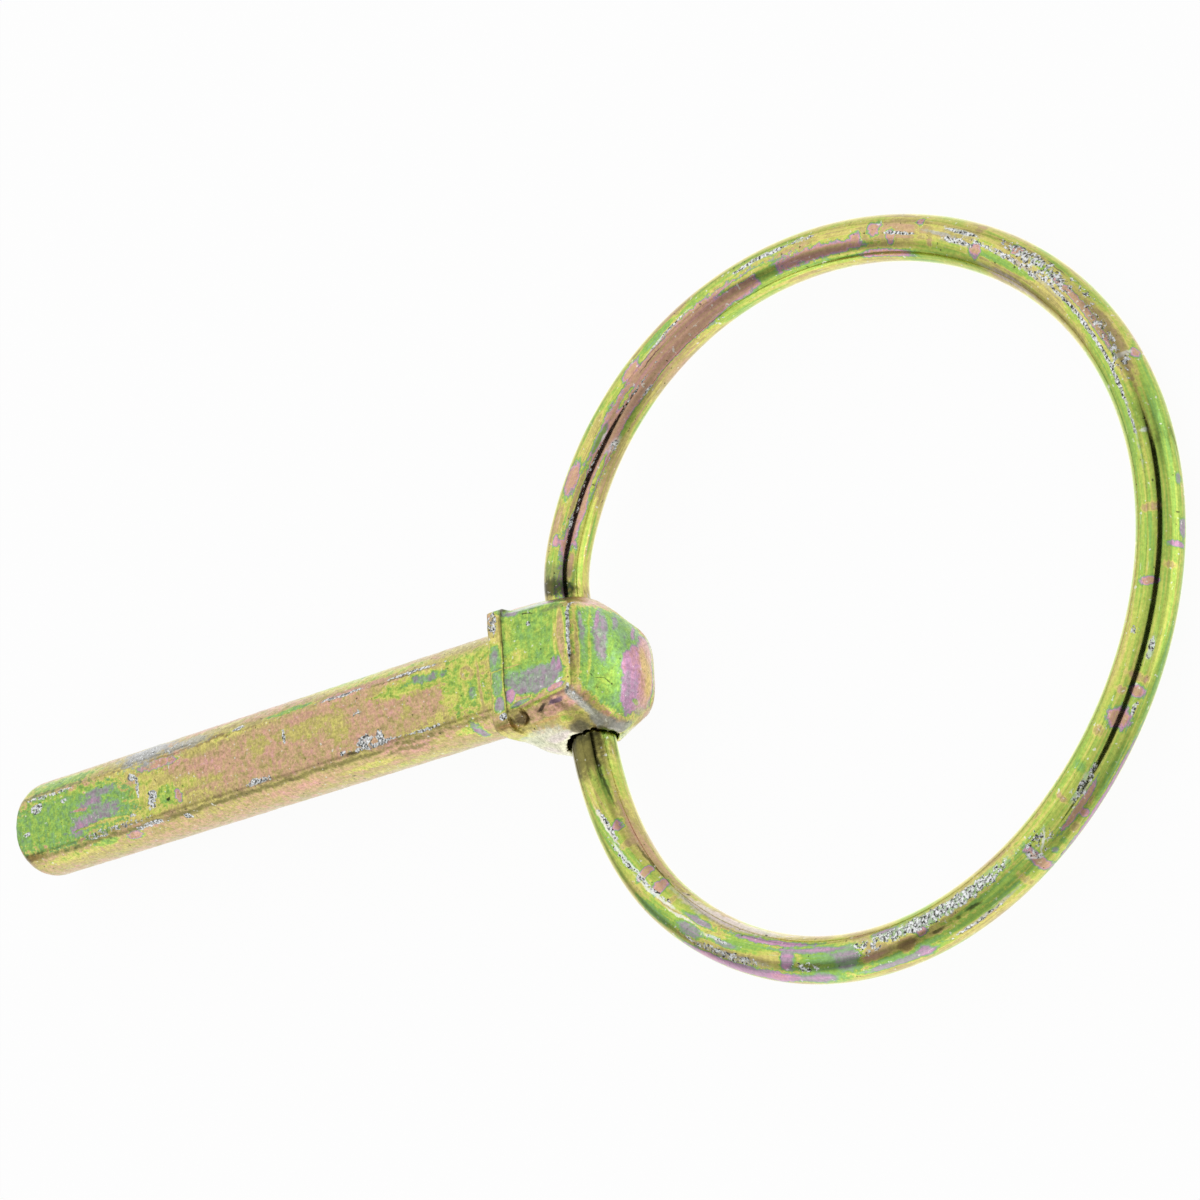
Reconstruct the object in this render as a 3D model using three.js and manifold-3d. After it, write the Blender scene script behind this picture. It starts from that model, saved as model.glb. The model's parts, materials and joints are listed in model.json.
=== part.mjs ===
// Wheel lock pin (linch pin): a cold-forged pin with a collared, cross-drilled head, and a
// sprung wire ring whose two ends turn in the cross hole.
//
// Millimetres, +Z up. The part lies as it comes to rest on a level surface at Z = 0: the tip of
// the shank, the back of the collar and the far side of the ring touch it. X runs from
// the tip of the shank to the ring, Y across, and the origin is under the middle of the part.

import * as THREE from 'three';
import { mergeVertices } from 'three/addons/utils/BufferGeometryUtils.js';
import Module from 'manifold-3d';

// ---------------------------------------------------------------- driving dimensions

// shank
const shankDiameter = 6.35;
const shankLength = 46.2;            // from the collar face to the tip
const shankAcrossFlats = 5.2;
const shankFlatsTurnDeg = 8;         // the two flats are turned this far towards -Y
const tipRadius = 1.5;
const tipSlantDeg = 5;               // the cropped end is longer on the -Y side

// head, from the collar face to the parting ridge, then the domed end
const headLength = 6.65;
const headThickness = 7.5;           // across the two pressed flats
const collarLength = 1.25;
const collarWidth = 7.6;             // along the cross hole
const collarOffset = 0.45;           // the collar sits this far towards the lower boss
const collarProud = 0.15;            // how far the collar stands above the flats
const collarBackWidth = 6.45;
const frontWidth = 6.25;             // front flat next to the collar
const frontWidthAtRidge = 5.5;
const frontOffset = 0.15;            // the front flat sits this far towards the lower boss
const backWidth = 5.7;               // back flat next to the collar
const backWidthAtRidge = 4.6;
const backOffset = 0.4;
const backOffsetAtRidge = 0.9;
const domeHeight = 1.4;
const domeOffset = 0.9;              // crown of the dome, towards the lower boss

// cross hole and the bosses round its two mouths
const holeClearance = 0.28;          // all round the wire
const holeFromRidge = 2.8;           // hole axis to ridge plane, on the shank axis
const holeSkewDeg = 8.5;             // the hole leans in the plane of the flats
const lowerBoss = 5.85;              // shank axis to the mouth on the -Y side
const lowerFlank = 4.6;              // the same side of the head next to the collar
const lowerFlankAtRidge = 4.85;
const upperBoss = 4.1;               // shank axis to the mouth on the +Y side
const upperBossBack = 3.7;           // the upper boss is lower behind the hole
const upperFlank = 4.2;
const upperFlankAtRidge = 2.65;
const bossFront = 0.8;               // each boss starts this far before the hole axis
const bossBack = 1.2;                // and ends this far behind it
const bossLand = 2.0;                // width of the land that each mouth opens in
const landAtRidge = 1.0;

// rounded edges
const edgeRound = 0.25;              // round the front flat
const flankRound = 1.2;
const collarRound = 1.0;
const collarFrontRound = 1.6;

// ring
const wireDiameter = 2.8;
const ringMeanRadius = 21.3;
const ringCentreReach = 19.9;        // hole to ring centre, along the shank axis
const ringCentreOffset = 0.2;        // and towards the lower boss
const ringLobe = 0.3;                // three-lobed departure from round, left by coiling
const ringLobeTurnDeg = 19;
const lowerLegDeg = 130;             // where the round ends and the lower leg turns to the hole
const upperLegDeg = 160;             // the same for the upper leg
const stubGap = 1.2;                 // between the two wire ends inside the hole
const stubInset = 0.25;              // the wire is straight up to this far inside each mouth

// mesh fineness
const roundSides = 48;
const roundSteps = 8;                // along the tip radius and up the dome
const cornerSteps = 5;
const halfWireSides = 8;
const wireSteps = 120;

// ---------------------------------------------------------------- sizes worked out from them

const shankRadius = shankDiameter / 2;
const flatHalf = shankAcrossFlats / 2;
const headHalf = headThickness / 2;
const wireRadius = wireDiameter / 2;
const holeRadius = wireRadius + holeClearance;
const holeSkew = THREE.MathUtils.degToRad(holeSkewDeg);
const flatsTurn = THREE.MathUtils.degToRad(shankFlatsTurnDeg);

// the pin frame has its origin where the hole axis crosses the shank axis
const ridgeX = holeFromRidge;
const collarX = ridgeX - headLength;
const tipX = collarX - shankLength;

const wasm = await Module();
wasm.setup();

// ---------------------------------------------------------------- helpers

function toSolid(geometry) {
  const bare = geometry.index ? geometry.toNonIndexed() : geometry.clone();
  bare.deleteAttribute('normal');
  bare.deleteAttribute('uv');
  const merged = mergeVertices(bare, 1e-4);
  const mesh = new wasm.Mesh({
    numProp: 3,
    vertProperties: new Float32Array(merged.attributes.position.array),
    triVerts: new Uint32Array(merged.index.array),
  });
  return new wasm.Manifold(mesh);
}

function toGeometry(solid) {
  const mesh = solid.getMesh();
  const geometry = new THREE.BufferGeometry();
  geometry.setAttribute('position', new THREE.BufferAttribute(mesh.vertProperties, 3));
  geometry.setIndex(new THREE.BufferAttribute(mesh.triVerts, 1));
  geometry.computeVertexNormals();
  return geometry;
}

// skin over a row of closed sections with equal point counts, flat at both ends
function loft(sections) {
  const count = sections[0].length;
  const positions = sections.flat().flatMap((point) => [point.x, point.y, point.z]);
  const index = [];
  for (let row = 0; row < sections.length - 1; row += 1) {
    for (let i = 0; i < count; i += 1) {
      const a = row * count + i;
      const b = row * count + (i + 1) % count;
      index.push(a, b, b + count, a, b + count, a + count);
    }
  }
  for (const row of [0, sections.length - 1]) {
    const outline = sections[row].map((point) => new THREE.Vector2(point.y, point.z));
    for (const [a, b, c] of THREE.ShapeUtils.triangulateShape(outline, [])) {
      const [p, q, r] = [a + row * count, b + row * count, c + row * count];
      index.push(...(row === 0 ? [p, r, q] : [p, q, r]));
    }
  }
  const geometry = new THREE.BufferGeometry();
  geometry.setAttribute('position', new THREE.Float32BufferAttribute(positions, 3));
  geometry.setIndex(index);
  return geometry;
}

// ---------------------------------------------------------------- shank

function shankSolid() {
  const profile = [new THREE.Vector2(0, tipX)];
  for (let i = 0; i <= roundSteps; i += 1) {
    const angle = (i / roundSteps) * Math.PI / 2;
    profile.push(new THREE.Vector2(
      shankRadius - tipRadius + tipRadius * Math.sin(angle),
      tipX + tipRadius - tipRadius * Math.cos(angle),
    ));
  }
  profile.push(new THREE.Vector2(shankRadius, 0));
  profile.push(new THREE.Vector2(0, 0));
  const bar = new THREE.LatheGeometry(profile, roundSides);
  bar.rotateZ(-Math.PI / 2);
  const slant = Math.tan(THREE.MathUtils.degToRad(tipSlantDeg));
  const points = bar.attributes.position;
  for (let i = 0; i < points.count; i += 1) {
    if (points.getX(i) < -shankLength / 2) {
      points.setX(i, points.getX(i) + slant * points.getY(i));
    }
  }
  const slab = new THREE.BoxGeometry(-3 * tipX, 2 * shankDiameter, shankAcrossFlats);
  slab.rotateX(flatsTurn);
  return toSolid(bar).intersect(toSolid(slab));
}

// ---------------------------------------------------------------- head

// One cross-section of the head, seen from its end: a flat on the front and on the back, joined
// on each side by slopes that rise to the land of a boss. Each corner has its own round.
function headOutline({ x, front, back, lower, upper, half, land, round, frontRound = edgeRound }) {
  const corners = [
    { y: front[1], z: half, round: edgeRound },
    { y: upper, z: land / 2, round },
    { y: upper, z: -land / 2, round },
    { y: back[1], z: -half, round },
    { y: back[0], z: -half, round },
    { y: -lower, z: -land / 2, round },
    { y: -lower, z: land / 2, round },
    { y: front[0], z: half, round: frontRound },
  ];
  return corners.flatMap((corner, i) => {
    const here = new THREE.Vector2(corner.y, corner.z);
    const before = corners[(i + corners.length - 1) % corners.length];
    const after = corners[(i + 1) % corners.length];
    const toBefore = new THREE.Vector2(before.y, before.z).sub(here);
    const toAfter = new THREE.Vector2(after.y, after.z).sub(here);
    const longest = 0.45 * Math.min(toBefore.length(), toAfter.length());
    const reach = Math.min(corner.round, longest);
    const start = toBefore.setLength(reach).add(here);
    const end = toAfter.setLength(reach).add(here);
    const bend = new THREE.QuadraticBezierCurve(start, here, end);
    return bend.getPoints(cornerSteps).map((point) => new THREE.Vector3(x, point.x, point.y));
  }).reverse();
}

// two sides of a flat that is set off from the shank axis towards the lower boss
function span(width, offset) {
  return [-width / 2 - offset, width / 2 - offset];
}

function collarAt(x) {
  return headOutline({
    x,
    front: span(collarWidth, collarOffset),
    back: span(collarBackWidth, collarOffset),
    lower: collarWidth / 2 + collarOffset + edgeRound,
    upper: collarWidth / 2 - collarOffset,
    half: headHalf + collarProud,
    land: headHalf,
    round: collarRound,
    frontRound: collarFrontRound,
  });
}

// the flats narrow evenly from the collar to the ridge, while the flanks swell to the bosses
function bodyAt(x, lower, upper, land = bossLand) {
  const along = (x - collarX) / headLength;
  const { lerp } = THREE.MathUtils;
  return headOutline({
    x,
    front: span(lerp(frontWidth, frontWidthAtRidge, along), frontOffset),
    back: span(lerp(backWidth, backWidthAtRidge, along), lerp(backOffset, backOffsetAtRidge, along)),
    lower,
    upper,
    half: headHalf,
    land,
    round: flankRound,
  });
}

// low cap over an outline: the skin closes towards the crown as it rises
function domeOver(rim) {
  return Array.from({ length: roundSteps - 1 }, (_, i) => {
    const share = 1 - (i + 1) / roundSteps;
    return rim.map((point) => new THREE.Vector3(
      ridgeX + domeHeight * (1 - share ** 2),
      THREE.MathUtils.lerp(-domeOffset, point.y, share),
      point.z * share,
    ));
  });
}

function headSolid() {
  const collarEnd = collarX + collarLength;
  const ridge = bodyAt(ridgeX, lowerFlankAtRidge, upperFlankAtRidge, landAtRidge);
  const body = loft([
    bodyAt(collarX + edgeRound, lowerFlank, upperFlank),
    bodyAt(collarEnd, (lowerFlank + lowerBoss) / 2, (upperFlank + upperBoss) / 2),
    bodyAt(-bossFront, lowerBoss, upperBoss),
    bodyAt(bossBack, lowerBoss, upperBossBack),
    ridge,
    ...domeOver(ridge),
  ]);
  return toSolid(body).add(toSolid(loft([collarAt(collarX), collarAt(collarEnd)])));
}

function crossHoleSolid() {
  const length = 4 * (lowerBoss + upperBoss);
  const drill = new THREE.CylinderGeometry(holeRadius, holeRadius, length, roundSides);
  drill.rotateZ(holeSkew);
  return toSolid(drill);
}

// ---------------------------------------------------------------- ring

const hingeAxis = new THREE.Vector3(-Math.sin(holeSkew), Math.cos(holeSkew), 0);

class RoundOfRing extends THREE.Curve {
  getPoint(t, target = new THREE.Vector3()) {
    const angle = THREE.MathUtils.degToRad(THREE.MathUtils.lerp(-lowerLegDeg, upperLegDeg, t));
    const lobeTurn = THREE.MathUtils.degToRad(ringLobeTurnDeg);
    const radius = ringMeanRadius + ringLobe * Math.cos(3 * (angle - lobeTurn));
    return target.set(
      ringCentreReach + radius * Math.cos(angle),
      radius * Math.sin(angle) - ringCentreOffset,
      0,
    );
  }
}

function ringPath() {
  const round = new RoundOfRing();
  const path = new THREE.CurvePath();
  const lowerStub = hingeAxis.clone().multiplyScalar(-stubGap / 2);
  const upperStub = hingeAxis.clone().multiplyScalar(stubGap / 2);
  const lowerMouth = hingeAxis.clone().multiplyScalar(-(lowerBoss - stubInset));
  const upperMouth = hingeAxis.clone().multiplyScalar(upperBoss - stubInset);
  const start = round.getPoint(0);
  const end = round.getPoint(1);
  const startTangent = round.getTangent(0);
  const endTangent = round.getTangent(1);
  const lowerReach = start.distanceTo(lowerMouth) / 3;
  const upperReach = end.distanceTo(upperMouth) / 3;
  path.add(new THREE.LineCurve3(lowerStub, lowerMouth));
  path.add(new THREE.CubicBezierCurve3(
    lowerMouth,
    lowerMouth.clone().addScaledVector(hingeAxis, -lowerReach),
    start.clone().addScaledVector(startTangent, -lowerReach),
    start,
  ));
  path.add(round);
  path.add(new THREE.CubicBezierCurve3(
    end,
    end.clone().addScaledVector(endTangent, upperReach),
    upperMouth.clone().addScaledVector(hingeAxis, upperReach),
    upperMouth,
  ));
  path.add(new THREE.LineCurve3(upperMouth, upperStub));
  return path;
}

function ringGeometry(path) {
  const section = new THREE.Shape();
  section.absarc(0, 0, wireRadius, 0, 2 * Math.PI);
  return new THREE.ExtrudeGeometry(section, {
    steps: wireSteps,
    curveSegments: halfWireSides,
    extrudePath: path,
    bevelEnabled: false,
  });
}

// ---------------------------------------------------------------- finishes

const pinPlating = new THREE.MeshStandardMaterial({ color: 0xb9b65e, roughness: 0.38, metalness: 0.9 });
const ringPlating = new THREE.MeshStandardMaterial({ color: 0xb4a95c, roughness: 0.3, metalness: 0.9 });

// ---------------------------------------------------------------- assembly

// The pin lies on its tip, on the edge of a turned flat, and on the back of its collar. The
// ring droops until it touches too.
const flatEdge = Math.sqrt(shankRadius ** 2 - flatHalf ** 2);
const tipHalf = flatHalf * Math.cos(flatsTurn) + flatEdge * Math.sin(flatsTurn);
const collarHalf = headHalf + collarProud;
const lie = Math.atan2(collarHalf - tipHalf, shankLength - tipRadius);
const axisHeight = collarHalf * Math.cos(lie) - collarX * Math.sin(lie);
const path = ringPath();
const reach = Math.max(...path.getSpacedPoints(360).map(
  (point) => new THREE.Vector3().crossVectors(hingeAxis, point).length(),
));
const droop = Math.asin((axisHeight - wireRadius) / reach);

const pin = new THREE.Mesh(
  toGeometry(shankSolid().add(headSolid()).subtract(crossHoleSolid())),
  pinPlating,
);
pin.name = 'pin';

const ring = new THREE.Mesh(ringGeometry(path), ringPlating);
ring.name = 'ring';
ring.quaternion.setFromAxisAngle(hingeAxis, droop + lie);

const lockPin = new THREE.Group();
lockPin.add(pin, ring);
lockPin.rotation.y = -lie;
lockPin.position.z = axisHeight;

const centred = new THREE.Group();
centred.add(lockPin);
centred.updateMatrixWorld(true);
const extent = new THREE.Box3().setFromObject(centred, true);
lockPin.position.x -= (extent.min.x + extent.max.x) / 2;
lockPin.position.y -= (extent.min.y + extent.max.y) / 2;

export default centred;
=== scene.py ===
import json
from math import cos, radians, sin

import bpy
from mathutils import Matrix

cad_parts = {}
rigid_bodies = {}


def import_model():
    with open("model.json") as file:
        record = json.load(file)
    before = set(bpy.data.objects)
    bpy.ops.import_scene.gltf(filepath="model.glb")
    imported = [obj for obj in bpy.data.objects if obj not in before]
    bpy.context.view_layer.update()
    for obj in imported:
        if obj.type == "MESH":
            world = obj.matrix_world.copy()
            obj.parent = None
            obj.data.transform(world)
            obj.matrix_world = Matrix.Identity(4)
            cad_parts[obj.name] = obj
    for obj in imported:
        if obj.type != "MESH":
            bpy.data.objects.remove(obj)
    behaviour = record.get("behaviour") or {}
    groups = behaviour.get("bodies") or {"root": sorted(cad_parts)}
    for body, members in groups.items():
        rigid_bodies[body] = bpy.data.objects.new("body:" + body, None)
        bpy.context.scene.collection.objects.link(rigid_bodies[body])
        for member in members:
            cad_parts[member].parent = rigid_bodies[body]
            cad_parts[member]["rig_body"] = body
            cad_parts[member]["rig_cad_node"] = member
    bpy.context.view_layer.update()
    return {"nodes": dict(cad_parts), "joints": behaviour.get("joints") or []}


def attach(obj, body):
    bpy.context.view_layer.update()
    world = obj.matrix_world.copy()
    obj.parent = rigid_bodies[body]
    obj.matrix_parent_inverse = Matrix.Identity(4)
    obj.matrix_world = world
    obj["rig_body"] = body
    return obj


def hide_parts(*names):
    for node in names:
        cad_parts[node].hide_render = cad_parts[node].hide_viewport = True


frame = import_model()
mm = 0.001
hinge = next(joint for joint in frame["joints"] if joint["name"] == "ring_hinge")["pos_m"]
print("frame loaded:", ", ".join(sorted(frame["nodes"])))

# Mesh helpers

meshWork = {
    "weldReach": 0.002 * mm,
    "roundingStrength": 0.5,
    "steadyShade": 0.8,  # lumps darker than this sink and the few lighter ones rise
}


def pickOnly(piece):
    if bpy.context.object and bpy.context.object.mode != "OBJECT":
        bpy.ops.object.mode_set(mode="OBJECT")
    bpy.ops.object.select_all(action="DESELECT")
    piece.select_set(True)
    bpy.context.view_layer.objects.active = piece


def copyOfNode(node, name):
    pickOnly(frame["nodes"][node])
    bpy.ops.object.duplicate()
    piece = bpy.context.object
    bpy.ops.object.parent_clear(type="CLEAR_KEEP_TRANSFORM")
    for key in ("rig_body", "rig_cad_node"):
        del piece[key]
    piece.name = name
    piece.data.name = name
    piece.data.materials.clear()
    bpy.ops.mesh.customdata_custom_splitnormals_clear()
    bpy.ops.object.mode_set(mode="EDIT")
    bpy.ops.mesh.select_all(action="SELECT")
    bpy.ops.mesh.remove_doubles(threshold=meshWork["weldReach"])
    bpy.ops.object.mode_set(mode="OBJECT")
    return piece


def applied(piece, kind, name, **settings):
    pickOnly(piece)
    modifier = piece.modifiers.new(name, kind)
    for key, value in settings.items():
        setattr(modifier, key, value)
    bpy.ops.object.modifier_apply(modifier=name)


def lumpy(piece, name, size, depth):
    texture = bpy.data.textures.new(name, "CLOUDS")
    texture.noise_scale = size
    applied(
        piece, "DISPLACE", name, texture=texture, texture_coords="LOCAL",
        strength=depth, mid_level=meshWork["steadyShade"],
    )


def pickPoints(piece, wanted):
    pickOnly(piece)
    bpy.ops.object.mode_set(mode="EDIT")
    bpy.ops.mesh.select_mode(type="VERT")
    bpy.ops.mesh.select_all(action="DESELECT")
    bpy.ops.object.mode_set(mode="OBJECT")
    for point in piece.data.vertices:
        point.select = wanted(point.co)
    bpy.ops.object.mode_set(mode="EDIT")


def roundPicked(passes):
    bpy.ops.mesh.vertices_smooth(factor=meshWork["roundingStrength"], repeat=passes)


# Node helpers

def wire(tree, kind, inputs, **settings):
    made = tree.nodes.new("ShaderNode" + kind)
    for key, value in settings.items():
        setattr(made, key, value)
    for key, value in inputs.items():
        if isinstance(value, bpy.types.NodeSocket):
            tree.links.new(value, made.inputs[key])
        else:
            made.inputs[key].default_value = value
    return made


def given(tree, kind, output, **settings):
    return wire(tree, kind, {}, **settings).outputs[output]


def placed(tree, group, inputs):
    return wire(tree, "Group", inputs, node_tree=group).outputs


def calc(tree, operation, *values):
    return wire(tree, "Math", dict(enumerate(values)), operation=operation).outputs[0]


def vector(tree, operation, *values):
    made = wire(tree, "VectorMath", dict(enumerate(values)), operation=operation)
    return made.outputs["Value" if operation in ("LENGTH", "DOT_PRODUCT") else "Vector"]


def scaled(tree, colour, amount):
    return wire(tree, "VectorMath", {0: colour, "Scale": amount}, operation="SCALE").outputs["Vector"]


def joined(tree, a, b, c=0.0):
    return wire(tree, "CombineXYZ", {0: a, 1: b, 2: c}).outputs[0]


def parted(tree, point):
    return wire(tree, "SeparateXYZ", {0: point}).outputs


# Gives a point in the frame of a thing that lies at this place, with this turn and this size
def seenFrom(tree, point, place, turn, size):
    inputs = {"Vector": point, "Location": place, "Rotation": turn, "Scale": size}
    return wire(tree, "Mapping", inputs, vector_type="TEXTURE").outputs["Vector"]


# Goes gently from start to end while the value goes from low to high
def eased(tree, value, low, high, start=1.0, end=0.0):
    inputs = {"Value": value, "From Min": low, "From Max": high, "To Min": start, "To Max": end}
    return wire(tree, "MapRange", inputs, interpolation_type="SMOOTHSTEP").outputs["Result"]


# A Mix blends the numbers that come in at 2 and 3, or the colours that come in at 6 and 7
def blendValue(tree, share, first, second):
    return wire(tree, "Mix", {0: share, 2: first, 3: second}, data_type="FLOAT").outputs[0]


def blendColour(tree, share, first, second):
    return wire(tree, "Mix", {0: share, 6: first, 7: second}, data_type="RGBA").outputs[2]


def noise(tree, point, scale, detail=3.0, rough=0.55, stretch=None, output="Fac"):
    if stretch:
        point = vector(tree, "MULTIPLY", point, stretch)
    inputs = {"Vector": point, "Scale": scale, "Detail": detail, "Roughness": rough}
    return wire(tree, "TexNoise", inputs).outputs[output]


# Turns a noise's 0 to 1 into a swing about 0, this wide from end to end
def wobble(tree, value, swing):
    return calc(tree, "MULTIPLY", calc(tree, "SUBTRACT", value, 0.5), swing)


def ramp(tree, value, colours):
    made = wire(tree, "ValToRGB", {"Fac": value})
    stops = made.color_ramp.elements
    for count, (place, colour) in enumerate(colours.items()):
        stop = stops[count] if count < 2 else stops.new(place)
        stop.position = place
        stop.color = (*colour, 1)
    return made.outputs["Color"]


def newGroup(name, inputs, outputs):
    group = bpy.data.node_groups.new(name, "ShaderNodeTree")
    for label, kind in inputs.items():
        group.interface.new_socket(label, in_out="INPUT", socket_type="NodeSocket" + kind)
    for label, kind in outputs.items():
        group.interface.new_socket(label, in_out="OUTPUT", socket_type="NodeSocket" + kind)
    return group, group.nodes.new("NodeGroupInput").outputs, group.nodes.new("NodeGroupOutput").inputs


# Shared effects

effects = {
    "patchReach": 4.0,  # the gradient behind a spot reaches this many times its half size
    "usualEdge": 0.25,
    "coarseDrift": {"scale": 0.7, "detail": 4.0},
    "fineDrift": {"scale": 3.5, "detail": 4.0},
    "chips": {"detail": 5.0, "rough": 0.68},
    "chipEdge": (0.975, 1.025),
    "speck": {"detail": 3.0, "rough": 0.7},
    "speckFineness": 1.9,
    "bareColours": {0.38: (0.05, 0.05, 0.04), 0.45: (0.42, 0.43, 0.42), 0.55: (0.88, 0.90, 0.90)},
    "grain": {"detail": 5.0, "rough": 0.75},
    "grainEdge": (0.34, 0.66),
    "grainLift": 0.7,
    "grainHeight": 0.6,
    "dots": {"detail": 2.0, "rough": 0.5},
    "dotFineness": 0.62,
    "pitEdge": (0.97, 1.03),
    "pitShare": 0.8,
    "pitColour": (0.06, 0.06, 0.03, 1),
    "fleckEdge": (-0.03, 0.03),
    "fleckShare": 0.65,
    "fleckColour": (0.82, 0.82, 0.74, 1),
    "fleckHeight": 0.3,
    "scratch": {"scale": 1.0, "detail": 2.0, "rough": 0.6},
    "scratchEdge": 0.03,
}


# The fray value for a patch: a noise that swings this wide, with 1 taken off for the rim of the oval
def frayed(tree, value, swing):
    return calc(tree, "SUBTRACT", wobble(tree, value, swing), 1.0)


# Marks an oval on a chart, with a rim that frays
def makePatch():
    group, inside, out = newGroup(
        "patch",
        {"Chart": "Vector", "Fray": "Float", "Centre": "Vector", "Turn": "Vector", "Size": "Vector",
         "Edge": "Float"},
        {"Mask": "Float"},
    )
    local = seenFrom(group, inside["Chart"], inside["Centre"], inside["Turn"], inside["Size"])
    closeness = wire(group, "TexGradient", {"Vector": local}, gradient_type="SPHERICAL").outputs["Fac"]
    distance = calc(group, "MULTIPLY", calc(group, "SUBTRACT", 1.0, closeness), effects["patchReach"])
    distance = calc(group, "ADD", distance, inside["Fray"])
    mask = eased(group, calc(group, "DIVIDE", distance, inside["Edge"]), -1.0, 1.0)
    group.links.new(mask, out["Mask"])
    return group


# The hues that the plating's film runs through, round and round, as it gets thicker
filmColours = {
    0.00: (0.58, 0.40, 0.22),
    0.09: (0.61, 0.35, 0.26),
    0.18: (0.66, 0.36, 0.38),
    0.28: (0.57, 0.31, 0.47),
    0.38: (0.38, 0.31, 0.36),
    0.46: (0.31, 0.35, 0.29),
    0.54: (0.27, 0.46, 0.20),
    0.62: (0.26, 0.47, 0.11),
    0.70: (0.37, 0.54, 0.10),
    0.78: (0.56, 0.59, 0.13),
    0.85: (0.68, 0.58, 0.19),
    0.91: (0.47, 0.41, 0.14),
    0.96: (0.54, 0.42, 0.19),
    1.00: (0.58, 0.40, 0.22),
}


def makeFilmColour():
    group, inside, out = newGroup("filmColour", {"Film": "Float"}, {"Color": "Color"})
    group.links.new(ramp(group, calc(group, "FRACT", inside["Film"]), filmColours), out["Color"])
    return group


# Moves points about at random, so that what is placed by them gets a ragged outline
def makeRagged():
    group, inside, out = newGroup(
        "raggedPoint", {"Point": "Vector", "Coarse": "Float", "Fine": "Float"}, {"Point": "Vector"},
    )
    moved = inside["Point"]
    for drift, amount in (("coarseDrift", inside["Coarse"]), ("fineDrift", inside["Fine"])):
        colour = noise(group, inside["Point"], output="Color", **effects[drift])
        shift = vector(group, "SUBTRACT", colour, (0.5, 0.5, 0.5))
        moved = vector(group, "ADD", moved, scaled(group, shift, amount))
    group.links.new(moved, out["Point"])
    return group


# Wear of 0 leaves the plating whole, and wear of about 0.5 chips half of it away
def makeBareMetal():
    group, inside, out = newGroup(
        "bareMetal", {"Point": "Vector", "Wear": "Float", "Grit": "Float", "Soot": "Float"},
        {"Mask": "Float", "Color": "Color", "Height": "Float"},
    )
    chips = noise(group, inside["Point"], inside["Grit"], **effects["chips"])
    mask = eased(group, calc(group, "ADD", chips, inside["Wear"]), *effects["chipEdge"], 0.0, 1.0)
    fineness = calc(group, "MULTIPLY", inside["Grit"], effects["speckFineness"])
    speck = noise(group, inside["Point"], fineness, **effects["speck"])
    colour = ramp(group, calc(group, "SUBTRACT", speck, inside["Soot"]), effects["bareColours"])
    group.links.new(mask, out["Mask"])
    group.links.new(colour, out["Color"])
    group.links.new(calc(group, "MULTIPLY", mask, speck), out["Height"])
    return group


def makeWeathered():
    group, inside, out = newGroup(
        "weathered",
        {"Color": "Color", "Point": "Vector", "Grain": "Float", "Contrast": "Float", "Pits": "Float",
         "Flecks": "Float"},
        {"Color": "Color", "Height": "Float"},
    )
    grain = noise(group, inside["Point"], inside["Grain"], **effects["grain"])
    dark = calc(group, "SUBTRACT", 1.0, inside["Contrast"])
    light = calc(group, "ADD", 1.0, calc(group, "MULTIPLY", inside["Contrast"], effects["grainLift"]))
    colour = scaled(group, inside["Color"], eased(group, grain, *effects["grainEdge"], dark, light))
    fineness = calc(group, "MULTIPLY", inside["Grain"], effects["dotFineness"])
    dots = noise(group, inside["Point"], fineness, **effects["dots"])
    pit = eased(group, calc(group, "ADD", dots, inside["Pits"]), *effects["pitEdge"], 0.0, 1.0)
    fleck = calc(group, "SUBTRACT", inside["Flecks"], dots)
    fleck = eased(group, fleck, *effects["fleckEdge"], 0.0, 1.0)
    pitShare = calc(group, "MULTIPLY", pit, effects["pitShare"])
    colour = blendColour(group, pitShare, colour, effects["pitColour"])
    fleckShare = calc(group, "MULTIPLY", fleck, effects["fleckShare"])
    colour = blendColour(group, fleckShare, colour, effects["fleckColour"])
    grainHeight = calc(group, "MULTIPLY", grain, effects["grainHeight"])
    height = calc(group, "ADD", grainHeight, calc(group, "MULTIPLY", fleck, effects["fleckHeight"]))
    group.links.new(colour, out["Color"])
    group.links.new(calc(group, "SUBTRACT", height, pit), out["Height"])
    return group


def makeScratches():
    group, inside, out = newGroup("scratches", {"Chart": "Vector", "Few": "Float"}, {"Mask": "Float"})
    lines = noise(group, inside["Chart"], **effects["scratch"])
    high = calc(group, "ADD", inside["Few"], effects["scratchEdge"])
    group.links.new(eased(group, lines, inside["Few"], high, 0.0, 1.0), out["Mask"])
    return group


patchGroup = makePatch()
filmColourGroup = makeFilmColour()
raggedGroup = makeRagged()
bareMetalGroup = makeBareMetal()
weatheredGroup = makeWeathered()
scratchesGroup = makeScratches()

# Colours of dirt, chips and worn places that lie over the film, and of painted shade where the ring goes
# into the pin's head
stainAndShadeColours = {
    "amber": (0.78, 0.60, 0.17),
    "blush": (0.82, 0.70, 0.70),
    "brown": (0.24, 0.18, 0.09),
    "brushed": (0.38, 0.39, 0.35),
    "chalk": (0.86, 0.88, 0.86),
    # mud and soot are also used as painted shade on the ring, where its wire goes into the pin's head
    "mudAndShade": (0.19, 0.17, 0.11),
    "olive": (0.21, 0.19, 0.06),
    "orange": (0.66, 0.40, 0.17),
    "pale": (0.80, 0.80, 0.62),
    "peach": (0.76, 0.52, 0.40),
    "plum": (0.13, 0.09, 0.15),
    "sky": (0.56, 0.66, 0.66),
    "soil": (0.24, 0.15, 0.05),
    "sootAndShade": (0.03, 0.03, 0.02),
    "steel": (0.46, 0.46, 0.44),
}


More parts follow.
